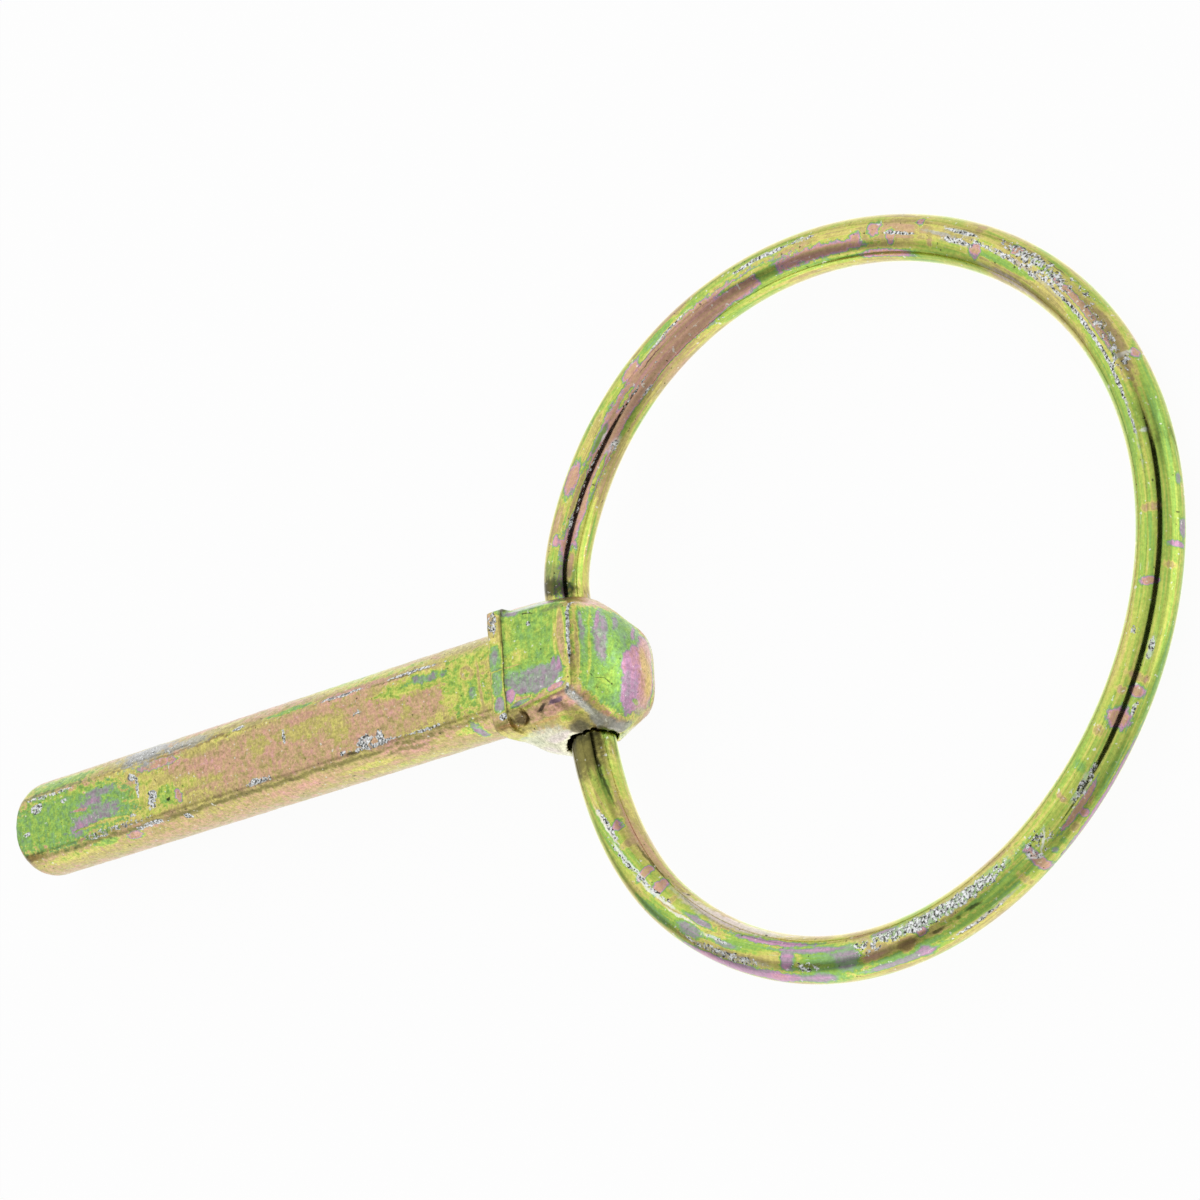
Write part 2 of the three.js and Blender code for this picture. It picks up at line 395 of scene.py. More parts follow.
# A spot is (a, b, half length along a, half length along b, value, edge, turn in degrees), and the last
# two can be left out. Depth is (middle, half size) in the third direction.
def patchMask(tree, chart, fray, spot, depth):
    a, b, sizeA, sizeB = spot[:4]
    edge = spot[5] if len(spot) > 5 else effects["usualEdge"]
    turn = spot[6] if len(spot) > 6 else 0.0
    return placed(tree, patchGroup, {
        "Chart": chart, "Fray": fray, "Centre": (a, b, depth[0]), "Turn": (0, 0, radians(turn)),
        "Size": [size * effects["patchReach"] for size in (sizeA, sizeB, depth[1])], "Edge": edge,
    })["Mask"]


# With more than about 200 spots in one material, the renderer runs out of stack and draws it black.
def painted(tree, field, chart, fray, spots, depth=(0.0, 1.0)):
    for spot in spots:
        field = blendValue(tree, patchMask(tree, chart, fray, spot, depth), field, spot[4])
    return field


# Lays coloured spots over a colour; on the ring some of them are painted shade where the wire goes into the
# pin's head
def stainedAndShaded(tree, colour, chart, fray, stainsAndShade, depth=(0.0, 1.0)):
    for name, *spot in stainsAndShade:
        share = calc(tree, "MULTIPLY", patchMask(tree, chart, fray, spot, depth), spot[4])
        colour = blendColour(tree, share, colour, (*stainAndShadeColours[name], 1))
    return colour


def newPlating(name, turn):
    material = bpy.data.materials.new(name)
    material.use_nodes = True
    tree = material.node_tree
    point = seenFrom(tree, given(tree, "TexCoord", "Object"), hinge, turn, (mm, mm, mm))
    return material, tree, point


def finishPlating(tree, point, colour, weatheredHeight, bare, look):
    surface = tree.nodes["Principled BSDF"]
    colour = blendColour(tree, bare["Mask"], colour, bare["Color"])
    tree.links.new(colour, surface.inputs["Base Color"])
    surface.inputs["Metallic"].default_value = 1.0
    gloss = eased(tree, noise(tree, point, **look["gloss"]), *look["glossEase"])
    gloss = calc(tree, "ADD", gloss, calc(tree, "MULTIPLY", bare["Mask"], look["bareDullness"]))
    tree.links.new(gloss, surface.inputs["Roughness"])
    bareHeight = calc(tree, "MULTIPLY", bare["Height"], look["bareHeight"])
    grain = calc(tree, "ADD", weatheredHeight, bareHeight)
    bump = wire(tree, "Bump", {**look["bump"], "Height": grain})
    tree.links.new(bump.outputs["Normal"], surface.inputs["Normal"])


# Pin: forged and then plated

pinShape = {
    "lieTurn": -1.3734,
    "voxel": 0.131 * mm,
    "edgeRounding": 4,
    "domeRounding": ((2.6, 50), (3.1, 80)),  # from this x on, passes
    "shoulderStart": (1.6, 1.9),  # x, y
    "shoulderRounding": 30,
    "holeMouth": (0.75, -4.7, 0.0),
    "holeReach": 1.9 * mm,
    "holeTightness": 0.94,
    "dents": [  # x, y, z in the pin's own frame, radius, inward shift, in mm
        (-2.0, -3.62, 3.45, 0.62, (0.0, 0.05, -0.11)),
        (-1.95, -3.7, 3.35, 0.42, (0.0, 0.06, -0.13)),
        (1.2, -3.35, 3.45, 0.32, (0.0, 0.04, -0.08)),
        (-0.3, -3.4, 3.5, 0.3, (0.0, 0.04, -0.07)),
    ],
    "dentRounding": 2,
    "edgeFinder": {
        "blur_strength": 1.0, "blur_iterations": 2, "clean_angle": radians(110), "dirt_angle": radians(60),
    },
    "hammeredSize": 1.6 * mm,
    "hammeredDepth": 0.045 * mm,
    "grainSize": 0.45 * mm,
    "grainDepth": 0.03 * mm,
}


# Turns a place in the pin's own frame, in mm, into a place in the object
def onPin(x, y, z):
    lie = radians(-pinShape["lieTurn"])
    return (
        hinge[0] + (cos(lie) * x - sin(lie) * z) * mm,
        hinge[1] + y * mm,
        hinge[2] + (sin(lie) * x + cos(lie) * z) * mm,
    )


def near(place, reach):
    return lambda co: sum((a - b) ** 2 for a, b in zip(co, place)) < reach ** 2


pinForged = copyOfNode("pin", "pinForged")
applied(pinForged, "REMESH", "skin", mode="VOXEL", voxel_size=pinShape["voxel"])
applied(
    pinForged, "SMOOTH", "worn", factor=meshWork["roundingStrength"], iterations=pinShape["edgeRounding"],
)
for start, passes in pinShape["domeRounding"]:
    pickPoints(pinForged, lambda co: co.x > hinge[0] + start * mm)
    roundPicked(passes)
startX, startY = pinShape["shoulderStart"]
pickPoints(pinForged, lambda co: co.x > hinge[0] + startX * mm and co.y > hinge[1] + startY * mm)
roundPicked(pinShape["shoulderRounding"])
mouth = onPin(*pinShape["holeMouth"])
pickPoints(pinForged, near(mouth, pinShape["holeReach"]))
tight = pinShape["holeTightness"]
bpy.ops.transform.resize(value=(tight, 1, tight), center_override=mouth)
for x, y, z, radius, shift in pinShape["dents"]:
    pickPoints(pinForged, near(onPin(x, y, z), radius * mm))
    bpy.ops.transform.translate(value=[step * mm for step in shift])
    roundPicked(pinShape["dentRounding"])
pickOnly(pinForged)
bpy.ops.geometry.color_attribute_add(
    name="wornEdges", domain="POINT", data_type="FLOAT_COLOR", color=(1, 1, 1, 1),
)
bpy.ops.object.mode_set(mode="VERTEX_PAINT")
bpy.ops.paint.vertex_color_dirt(**pinShape["edgeFinder"])
bpy.ops.object.mode_set(mode="OBJECT")
lumpy(pinForged, "hammered", pinShape["hammeredSize"], pinShape["hammeredDepth"])
lumpy(pinForged, "scaleGrain", pinShape["grainSize"], pinShape["grainDepth"])
bpy.ops.object.shade_smooth()
print("pin forged:", len(pinForged.data.polygons), "faces")

# Places are in the pin's own frame, in mm: x from the tip to the ring, y across, z up.
# A turn round the shank is counted from the top, in steps of turnStep.
# An ease is (low, high, start, end) for eased. A swing is how wide a noise swings the film or a rim.
pinFinish = {
    "turnStep": 20,  # degrees
    "raggedPoint": {"Coarse": 0.45, "Fine": 0.26},
    "calmPoint": {"Coarse": 0.24, "Fine": 0.12},
    "depths": {"top": (3.9, 1.9), "side": (-5.4, 2.2), "dome": (4.0, 1.25)},
    "mottle": {"stretch": (0.6, 1.0, 1.0), "scale": 3.0, "detail": 6.0, "rough": 0.72},
    "mottleSwing": 0.55,
    "mottleEase": (-5.5, -4.5, 1.0, 0.6),
    "speckle": {"scale": 9.0, "detail": 4.0, "rough": 0.7},
    "speckleSwing": 0.15,
    "brushed": {"stretch": (1.6, 0.5, 0.9), "scale": 2.2, "detail": 3.0},
    "brushedSwing": 0.3,
    "shankFray": 2.0,
    "headFray": 0.8,
    "stainFray": 3.2,
    "broad": {"stretch": (0.25, 1.0, 1.0), "scale": 0.45, "detail": 3.0},
    "filmEase": (0.3, 0.7, 0.74, 1.08),
    "edgeWearEase": (0.56, 0.76, 0.0, 0.5),
    "shadeEase": (0.3, 0.56, 0.76, 1.08),
    "domeEase": (2.4, 2.9, 0.0, 1.0),
    # Painted light: the next ease lifts the colour on the dome's upper half by up to 22%
    "upperDomePaintedLightEase": (0.0, 1.0, 0.0, 0.22),
    "weathered": {"Grain": 5.5, "Contrast": 0.24, "Pits": 0.27, "Flecks": 0.29},
    "bare": {"Grit": 3.2, "Soot": 0.02},
    "bareDullness": 0.15,
    "bareHeight": 0.8,
    "gloss": {"scale": 3.0, "detail": 4.0},
    "glossEase": (0.3, 0.7, 0.25, 0.4),
    "bump": {"Strength": 0.3, "Distance": 0.05 * mm},
    "shank": [  # x, turn, half length, half width, film, edge, turn of spot
        (-30.0, -4.2, 26.0, 1.9, 0.97, 0.2),
        (-45.0, -0.5, 7.7, 1.85, 0.62, 0.08),
        (-47.3, -0.9, 1.3, 0.7, 0.65, 0.4),
        (-43.2, -1.3, 1.2, 0.5, 0.35, 0.4, 12),
        (-40.9, -0.9, 1.6, 0.65, 0.43, 0.5),
        (-42.0, 0.05, 1.1, 0.3, 0.38, 0.5),
        (-41.0, 0.6, 1.5, 0.35, 0.44, 0.5),
        (-43.2, -0.28, 0.7, 0.11, 0.06, 0.3),
        (-44.0, 1.05, 4.0, 0.16, 0.69, 0.5),
        (-41.3, -1.62, 2.3, 0.09, 0.84, 0.4),
        (-21.0, -0.5, 14.0, 1.85, 1.01, 0.08),
        (-35.9, -0.2, 1.7, 1.25, 0.83, 0.2),
        (-34.6, -1.15, 0.9, 0.75, 0.70, 0.25),
        (-36.6, 0.3, 0.8, 0.5, 0.80, 0.35),
        (-34.9, -0.1, 0.7, 0.35, 0.91, 0.4),
        (-33.7, -1.4, 0.3, 0.45, 0.07, 0.4, 20),
        (-32.6, -0.7, 1.0, 0.5, 0.80, 0.5),
        (-35.2, 1.08, 1.9, 0.26, 0.04, 0.3),
        (-31.5, 1.05, 1.5, 0.3, 0.88, 0.5),
        (-30.5, 0.1, 1.8, 0.7, 1.05, 0.5),
        (-31.0, -1.0, 1.4, 0.3, 0.88, 0.5),
        (-25.8, 0.1, 1.0, 0.55, 0.90, 0.4),
        (-21.3, 0.2, 2.6, 0.6, 0.90, 0.35),
        (-18.4, -0.2, 0.9, 1.1, 0.89, 0.4),
        (-21.3, 1.0, 1.7, 0.2, 1.06, 0.4),
        (-15.2, -0.5, 1.6, 1.0, 1.02, 0.5),
        (-12.6, -0.75, 0.6, 0.6, 0.91, 0.4),
        (-11.4, 0.8, 3.5, 0.5, 0.75, 0.3),
        (-7.3, -0.3, 2.0, 1.7, 0.72, 0.25),
        (-8.6, -0.9, 0.8, 0.4, 0.80, 0.4),
        (-10.4, 0.95, 1.6, 0.2, 0.50, 0.4),
        (-6.7, -0.8, 0.25, 0.6, 0.52, 0.5),
        (-6.9, 0.5, 0.55, 0.42, 0.97, 0.35),
        (-6.9, 0.5, 0.35, 0.26, 0.78, 0.4),
        (-6.0, -0.6, 0.14, 1.5, 0.95, 0.4),
        (-22.8, 1.72, 2.3, 0.2, 0.63, 0.3),
        (-25.5, 2.2, 3.0, 0.3, 0.99, 0.5),
        (-14.0, 2.2, 4.0, 0.3, 0.78, 0.5),
        (-45.0, 2.1, 3.5, 0.6, 0.66, 0.5),
        (-45.2, -3.2, 3.0, 0.35, 0.78, 0.4),
        (-41.6, -2.85, 1.3, 0.3, 0.68, 0.4),
        (-38.9, -2.95, 0.7, 0.4, 0.07, 0.4),
        (-43.0, -3.8, 4.5, 0.5, 0.90, 0.5),
        (-36.0, -3.9, 2.5, 0.6, 0.98, 0.5),
        (-31.5, -3.0, 3.0, 0.3, 0.92, 0.5),
        (-23.5, -3.3, 3.0, 0.35, 1.04, 0.5),
        (-17.0, -3.35, 2.4, 0.25, 0.84, 0.4),
        (-12.3, -3.1, 2.2, 0.4, 1.05, 0.4),
        (-10.8, -3.1, 0.8, 0.3, 0.91, 0.4),
        (-7.9, -3.0, 1.1, 0.3, 0.74, 0.4),
        (-7.4, -3.3, 0.4, 0.8, 0.42, 0.4),
        (-14.0, -4.3, 6.0, 0.4, 0.86, 0.6),
    ],
    "shankStain": [  # colour, x, turn, half length, half width, share, edge, turn of spot
        ("olive", -28.0, -2.52, 23.0, 0.16, 0.8, 0.7),
        ("olive", -13.0, -2.95, 1.8, 0.16, 0.7, 0.5),
        ("soil", -48.7, -2.4, 1.2, 0.22, 0.8, 0.5),
        ("soil", -34.5, 1.38, 6.6, 0.07, 0.75, 0.7),
        ("soil", -29.4, 1.55, 0.8, 0.16, 0.85, 0.6),
        ("steel", -36.8, 2.3, 2.4, 1.0, 1.0, 0.35),
        ("steel", -32.6, 1.8, 2.2, 0.42, 0.75, 0.4),
        ("mudAndShade", -35.0, 1.62, 4.5, 0.1, 0.6, 0.7),
        ("mudAndShade", -46.0, 1.5, 3.5, 0.12, 0.7, 0.7),
        ("sootAndShade", -34.65, -1.45, 0.16, 0.11, 0.9, 0.3),
        ("sootAndShade", -17.6, -2.2, 0.5, 0.1, 0.7, 0.6),
        ("sootAndShade", -14.9, -2.15, 0.7, 0.05, 0.8, 0.6),
        ("sootAndShade", -12.0, 1.42, 2.0, 0.04, 0.7, 0.8),
    ],
    "top": [  # x, y, half sizes, film, edge, turn of spot
        (-0.2, 1.0, 2.9, 3.6, 0.66, 0.1),
        (-2.1, 1.8, 0.42, 0.95, 0.72, 0.35),
        (-1.9, 2.85, 0.6, 0.2, 0.37, 0.4, -8),
        (-1.6, 0.05, 0.9, 0.42, 0.77, 0.4),
        (-2.1, -0.47, 0.75, 0.05, 0.88, 0.4),
        (-2.0, -1.15, 0.65, 0.5, 0.53, 0.4),
        (-0.1, -1.7, 2.3, 0.85, 0.42, 0.25),
        (-1.5, -1.4, 1.0, 0.3, 0.47, 0.4),
        (1.6, -1.1, 0.4, 0.45, 0.34, 0.4),
        (-2.25, -2.25, 0.38, 0.5, 0.27, 0.3),
        (-1.5, -2.85, 0.9, 0.15, 0.46, 0.4, 8),
        (1.4, -2.5, 0.75, 0.2, 0.17, 0.3, 8),
        (0.5, -2.95, 2.1, 0.09, 0.77, 0.4, 8),
        (1.62, 0.6, 0.14, 1.4, 0.80, 0.5),
        (2.1, 0.6, 0.33, 1.6, 0.97, 0.3, 2),
        (-3.3, 0.2, 0.5, 1.2, 0.56, 0.3),
        (-3.3, 0.4, 0.26, 0.45, 0.46, 0.4),
        (-3.3, 1.3, 0.5, 0.25, 0.80, 0.4),
        (-3.3, -0.5, 0.7, 0.05, 0.88, 0.4),
        (-3.2, -1.4, 0.5, 0.8, 0.53, 0.3),
        (-3.1, -2.6, 0.5, 0.5, 0.42, 0.4),
        (-3.82, -2.3, 0.1, 1.4, 0.77, 0.4),
        (-2.85, 1.9, 0.13, 1.2, 0.86, 0.3),
        (-2.68, -1.2, 0.08, 2.4, 0.80, 0.4),
        (-1.0, 3.4, 2.2, 0.6, 0.44, 0.4),
        (0.4, 3.2, 0.8, 0.25, 0.25, 0.4, -14),
        (1.4, -3.95, 0.8, 0.14, 0.80, 0.4),
        (-0.4, -4.02, 1.5, 0.12, 0.92, 0.4),
    ],
    "topStain": [
        ("pale", -0.9, -4.9, 2.3, 0.72, 0.85, 0.25),
        ("blush", -0.5, -5.2, 0.9, 0.25, 0.8, 0.4),
        ("pale", -0.6, 3.5, 2.2, 0.55, 0.45, 0.4),
        ("brown", -1.95, -3.6, 0.66, 0.38, 0.92, 0.18, 8),
        ("sootAndShade", -0.15, -3.38, 0.55, 0.1, 0.85, 0.35, 14),
        ("plum", 1.1, -3.25, 0.65, 0.13, 0.85, 0.3, 8),
        ("sootAndShade", -2.62, 0.0, 0.05, 3.2, 0.75, 0.5),
        ("soil", -2.7, 2.0, 0.1, 1.2, 0.6, 0.5),
        ("soil", -3.1, -4.05, 0.6, 0.1, 0.6, 0.4),
        ("orange", -2.9, -3.95, 0.7, 0.08, 0.7, 0.4),
        ("orange", -0.2, -4.05, 1.4, 0.07, 0.7, 0.4),
        ("sootAndShade", -0.55, 2.52, 0.55, 0.05, 0.85, 0.3, -12),
        ("mudAndShade", 1.6, 2.35, 0.9, 0.13, 0.55, 0.6),
        ("brushed", 2.45, -3.75, 0.38, 1.1, 0.85, 0.3, 8),
        ("mudAndShade", 1.65, -4.75, 0.55, 0.32, 0.9, 0.3, 20),
        ("chalk", 1.75, -2.15, 0.3, 0.11, 0.8, 0.3, 22),
    ],
    "dome": [  # y, z, half sizes, film, edge, turn of spot
        (0.0, 1.0, 6.0, 5.0, 0.61, 0.1),
        (-0.2, 3.36, 3.1, 0.16, 0.99, 0.3),
        (-2.2, 3.0, 1.4, 0.22, 0.65, 0.4),
        (0.9, 3.03, 1.5, 0.17, 0.44, 0.4),
        (-0.9, 2.72, 2.3, 0.11, 0.76, 0.35, -3),
        (1.8, 2.25, 0.85, 0.11, 0.76, 0.35, -30),
        (2.6, 1.5, 0.55, 0.11, 0.74, 0.35, -52),
        (-2.7, 1.75, 1.0, 0.8, 0.67, 0.3),
        (0.1, 2.0, 1.5, 0.42, 0.43, 0.3),
        (1.2, 1.5, 1.2, 0.3, 0.41, 0.4, -20),
        (1.5, 1.85, 1.1, 0.16, 0.34, 0.35, -34),
        (2.5, 0.95, 0.6, 0.2, 0.34, 0.4, -52),
        (1.3, 0.2, 1.2, 0.6, 0.55, 0.4),
        (1.5, 0.35, 0.75, 0.22, 0.42, 0.4, -38),
        (1.2, -1.3, 0.95, 0.24, 0.31, 0.25, -42),
        (1.5, -1.9, 1.1, 0.16, 0.58, 0.4, -48),
        (-2.5, -0.6, 1.95, 1.15, 0.31, 0.12),
        (-1.3, -0.1, 0.95, 0.72, 0.28, 0.15),
        (-0.7, -0.75, 0.85, 0.65, 0.23, 0.2),
        (-1.9, -2.0, 2.7, 1.05, 0.13, 0.35),
        (0.2, -2.2, 1.3, 0.75, 0.15, 0.4, -35),
        (-2.3, 0.0, 1.3, 0.22, 0.36, 0.5, 6),
        (-3.25, -1.0, 0.17, 0.42, 0.62, 0.25, -10),
    ],
    "domeStain": [
        ("amber", -1.8, -2.2, 1.4, 0.5, 0.85, 0.5),
        ("amber", -0.7, -1.5, 0.9, 0.4, 0.7, 0.5),
        ("peach", -3.5, -2.0, 0.6, 1.2, 0.7, 0.5),
        ("peach", 0.1, -2.5, 1.1, 0.6, 0.6, 0.5),
        ("peach", -2.2, -3.5, 1.6, 0.3, 0.7, 0.5),
        ("pale", 0.9, -3.2, 0.9, 0.45, 0.8, 0.5),
        ("pale", 2.85, 0.0, 0.2, 0.9, 0.5, 0.5),
        ("brushed", -3.95, 2.15, 1.55, 0.26, 0.9, 0.25, 58),
        ("brushed", -4.78, 0.0, 0.34, 1.3, 0.9, 0.25),
        ("pale", -4.6, -1.6, 0.2, 0.8, 0.6, 0.4),
        ("sootAndShade", -4.4, -0.8, 0.06, 0.35, 0.6, 0.4, 10),
        ("sootAndShade", -2.08, 2.55, 0.19, 0.025, 0.85, 0.3, 48),
        ("sootAndShade", -2.22, 2.1, 0.025, 0.33, 0.85, 0.3, 2),
        ("sootAndShade", -2.38, 1.5, 0.38, 0.03, 0.85, 0.3, 62),
        ("sootAndShade", -2.52, 1.22, 0.07, 0.06, 0.9, 0.3),
        ("mudAndShade", 0.3, 3.62, 3.6, 0.06, 0.6, 0.6),
    ],
    "side": [  # x, z, half sizes, film, edge, turn of spot
        (-0.8, 2.72, 1.7, 0.14, 0.92, 0.4, 4),
        (1.0, 2.6, 0.8, 0.25, 0.76, 0.4, -20),
        (-2.6, 1.8, 1.2, 0.6, 0.76, 0.4),
    ],
    "sideStain": [
        ("pale", -1.2, 1.1, 3.0, 1.35, 0.85, 0.2),
        ("blush", -0.3, 1.85, 1.1, 0.2, 0.7, 0.4, 4),
        ("blush", -1.7, 1.0, 0.6, 0.3, 0.5, 0.5),
        ("mudAndShade", 1.35, 1.85, 0.65, 0.34, 0.9, 0.25, -34),
        ("brushed", 2.55, 1.0, 0.42, 2.7, 0.85, 0.2, 6),
        ("pale", 1.9, -1.8, 0.5, 0.6, 0.6, 0.4),
    ],
    "shankWear": [  # x, turn, half sizes, amount
        (-48.7, -0.8, 0.4, 0.2, 0.52), (-47.4, 0.75, 0.6, 0.3, 0.6), (-44.6, 0.65, 0.4, 0.15, 0.52),
        (-37.8, 0.8, 0.35, 0.3, 0.64), (-38.2, -1.75, 0.35, 0.13, 0.6), (-36.3, -1.4, 0.45, 0.4, 0.62),
        (-36.1, -0.85, 0.5, 0.35, 0.64), (-37.4, 0.0, 0.15, 0.9, 0.55), (-36.9, -2.6, 1.5, 0.2, 0.6),
        (-33.5, -2.8, 0.35, 0.22, 0.64), (-41.8, -2.3, 0.9, 0.15, 0.58), (-46.0, 1.3, 2.6, 0.12, 0.52),
        (-37.0, 2.2, 2.0, 0.9, 0.46), (-33.0, 1.75, 1.9, 0.4, 0.44), (-40.0, -2.15, 4.0, 0.16, 0.48),
        (-16.3, -1.75, 0.8, 0.4, 0.6), (-15.0, -1.8, 0.35, 0.4, 0.62), (-23.3, 0.15, 0.14, 0.6, 0.6),
        (-18.4, -1.97, 0.35, 0.14, 0.62), (-16.7, 0.4, 0.5, 0.7, 0.44), (-18.0, 1.55, 2.2, 0.13, 0.62),
        (-11.3, 1.55, 2.6, 0.13, 0.6), (-27.5, 1.62, 0.7, 0.17, 0.62), (-26.3, -2.05, 1.3, 0.16, 0.6),
        (-15.6, -2.1, 2.4, 0.12, 0.6), (-11.0, -2.12, 1.8, 0.08, 0.55),
    ],
    "topWear": [
        (-0.5, 1.85, 0.17, 0.15, 0.66), (1.8, -2.1, 0.26, 0.12, 0.6), (-3.35, 2.5, 0.45, 0.85, 0.54),
        (-2.95, -3.4, 0.3, 0.26, 0.68), (2.68, 0.8, 0.12, 2.4, 0.6), (2.45, -3.2, 0.36, 0.8, 0.5),
    ],
    "domeWear": [
        (-4.75, 0.2, 0.3, 1.4, 0.47), (-4.0, 2.1, 1.5, 0.22, 0.48, 0.3, 58), (-0.3, 3.72, 3.4, 0.09, 0.6),
    ],
}


def makePinPlating():
    material, tree, point = newPlating("pinPlating", (0, radians(pinShape["lieTurn"]), 0))
    rough = placed(tree, raggedGroup, {"Point": point, **pinFinish["raggedPoint"]})["Point"]
    calm = placed(tree, raggedGroup, {"Point": point, **pinFinish["calmPoint"]})["Point"]
    split = parted(tree, rough)
    turn = calc(tree, "ARCTAN2", split["Y"], split["Z"])
    around = joined(tree, split["X"], calc(tree, "DIVIDE", turn, radians(pinFinish["turnStep"])))
    split = parted(tree, calm)
    domeChart = joined(tree, split["Y"], split["Z"], split["X"])
    sideChart = joined(tree, split["X"], split["Z"], split["Y"])
    depths = pinFinish["depths"]

    mottle = noise(tree, point, **pinFinish["mottle"])
    speckle = noise(tree, point, **pinFinish["speckle"])
    shankFray = frayed(tree, mottle, pinFinish["shankFray"])
    headFray = frayed(tree, mottle, pinFinish["headFray"])
    stainFray = frayed(tree, mottle, pinFinish["stainFray"])
    wear = painted(tree, 0.0, around, shankFray, pinFinish["shankWear"])
    wear = painted(tree, wear, calm, headFray, pinFinish["topWear"], depths["top"])
    wear = painted(tree, wear, domeChart, headFray, pinFinish["domeWear"], depths["dome"])
    edges = given(tree, "Attribute", "Fac", attribute_name="wornEdges")
    wear = calc(tree, "MAXIMUM", wear, eased(tree, edges, *pinFinish["edgeWearEase"]))

    film = eased(tree, noise(tree, point, **pinFinish["broad"]), *pinFinish["filmEase"])
    film = painted(tree, film, around, shankFray, pinFinish["shank"])
    film = painted(tree, film, sideChart, headFray, pinFinish["side"], depths["side"])
    film = painted(tree, film, calm, headFray, pinFinish["top"], depths["top"])
    film = painted(tree, film, domeChart, headFray, pinFinish["dome"], depths["dome"])
    mottling = wobble(tree, mottle, pinFinish["mottleSwing"])
    mottling = calc(tree, "MULTIPLY", mottling, eased(tree, split["X"], *pinFinish["mottleEase"]))
    film = calc(tree, "ADD", film, mottling)
    film = calc(tree, "ADD", film, wobble(tree, speckle, pinFinish["speckleSwing"]))
    brushed = noise(tree, point, **pinFinish["brushed"])
    film = calc(tree, "ADD", film, wobble(tree, brushed, pinFinish["brushedSwing"]))

    colour = placed(tree, filmColourGroup, {"Film": film})["Color"]
    colour = stainedAndShaded(tree, colour, around, stainFray, pinFinish["shankStain"])
    colour = stainedAndShaded(tree, colour, sideChart, headFray, pinFinish["sideStain"], depths["side"])
    colour = stainedAndShaded(tree, colour, calm, headFray, pinFinish["topStain"], depths["top"])
    colour = stainedAndShaded(tree, colour, domeChart, headFray, pinFinish["domeStain"], depths["dome"])
    colour = scaled(tree, colour, eased(tree, mottle, *pinFinish["shadeEase"]))
    # Painted light: the colour on the dome's upper half is made up to 22% lighter than below
    onDome = eased(tree, split["X"], *pinFinish["domeEase"])
    upperDomePaintedLight = calc(tree, "MULTIPLY", onDome, eased(tree, split["Z"], *pinFinish["upperDomePaintedLightEase"]))
    colour = scaled(tree, colour, calc(tree, "ADD", upperDomePaintedLight, 1.0))
    worn = placed(tree, weatheredGroup, {"Color": colour, "Point": point, **pinFinish["weathered"]})
    bare = placed(tree, bareMetalGroup, {"Point": point, "Wear": wear, **pinFinish["bare"]})
    finishPlating(tree, point, worn["Color"], worn["Height"], bare, pinFinish)
    return material


pinForged.data.materials.append(makePinPlating())
print("pin plated")

# Ring: drawn wire, bent round and plated

ringShape = {
    "lie": (-0.737, 3.550, -0.032),
    "centre": (19.9, -0.2, 0.0),
    "radius": 21.3,
    "quadAngle": 60,
    "swell": 0.034 * mm,
    "fineness": 2,
    "drawnSize": 3.0 * mm,
    "drawnDepth": 0.012 * mm,
}

ringWire = copyOfNode("ring", "ringWire")
bpy.ops.object.mode_set(mode="EDIT")
bpy.ops.mesh.select_all(action="SELECT")
quadAngle = radians(ringShape["quadAngle"])
bpy.ops.mesh.tris_convert_to_quads(face_threshold=quadAngle, shape_threshold=quadAngle)
bpy.ops.transform.shrink_fatten(value=ringShape["swell"])
bpy.ops.object.mode_set(mode="OBJECT")
applied(ringWire, "SUBSURF", "drawn", levels=ringShape["fineness"])
lumpy(ringWire, "drawnWaves", ringShape["drawnSize"], ringShape["drawnDepth"])
bpy.ops.object.shade_smooth()
print("ring drawn:", len(ringWire.data.polygons), "faces")

